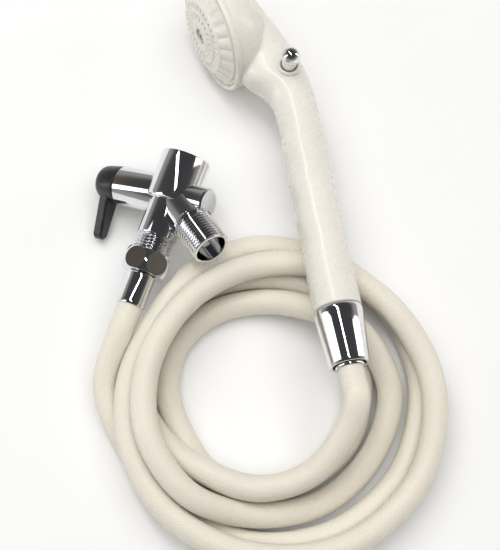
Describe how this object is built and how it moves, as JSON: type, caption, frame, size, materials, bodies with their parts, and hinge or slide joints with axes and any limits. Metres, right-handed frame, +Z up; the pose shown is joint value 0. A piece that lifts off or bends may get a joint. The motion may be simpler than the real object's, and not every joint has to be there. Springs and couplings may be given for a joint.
{
  "type": "handheld bath sprayer",
  "caption": "Hand shower on a coiled hose with a push-through shut-off pin, fed by a lever diverter valve with a threaded inlet and outlet.",
  "frame": {"origin": "middle of the box round the handset and valve, on the table", "axes": "+X to the right of the lying coil, +Y from the hose coil to the spray head, +Z up from the table"},
  "size_m": [0.1913, 0.3304, 0.0679],
  "materials": {
    "cream_plastic": "glossy moulded",
    "cream_vinyl": "satin braided vinyl",
    "chrome": "polished",
    "steel": "machined",
    "brass": "machined",
    "black_plastic": "semi-gloss",
    "rubber": "matt"
  },
  "bodies": {
    "valve_and_hose": {"valve_body": "chrome", "gland": "brass", "end_plug": "chrome", "inlet_washer": "rubber", "hex_nut": "chrome", "valve_washer": "rubber", "valve_tail": "brass", "valve_ferrule": "chrome", "hose": "cream_vinyl", "handset_ferrule": "chrome", "handset_tail": "brass"},
    "lever": {"lever": "black_plastic", "lever_screw": "steel", "spool": "brass", "spool_oring_a": "rubber", "spool_oring_b": "rubber"},
    "handset": {"handset_shell": "cream_plastic", "faceplate": "cream_plastic", "face_gasket": "rubber", "distributor": "cream_plastic", "face_screw": "steel", "cone_nut": "chrome", "handset_washer": "rubber"},
    "shutoff_pin": {"shutoff_pin": "chrome", "pin_oring_a": "rubber", "pin_oring_b": "rubber", "pin_button": "cream_plastic"}
  },
  "joints": [
    {"name": "diverter_turn", "type": "hinge", "parent": "valve_and_hose", "child": "lever", "pos_m": [-0.0291, -0.0155, 0.0312], "axis": [0.8443, -0.3476, 0.4078], "range_deg": [-90, 0]},
    {"name": "handset_swivel", "type": "hinge", "parent": "valve_and_hose", "child": "handset", "pos_m": [0.0642, -0.1142, 0.046], "axis": [-0.1762, 0.9812, -0.0791], "continuous": true},
    {"name": "shutoff_push", "type": "slide", "parent": "handset", "child": "shutoff_pin", "axis": [0.1155, 0.1004, 0.9882], "range_m": [-0.0055, 0]}
  ]
}
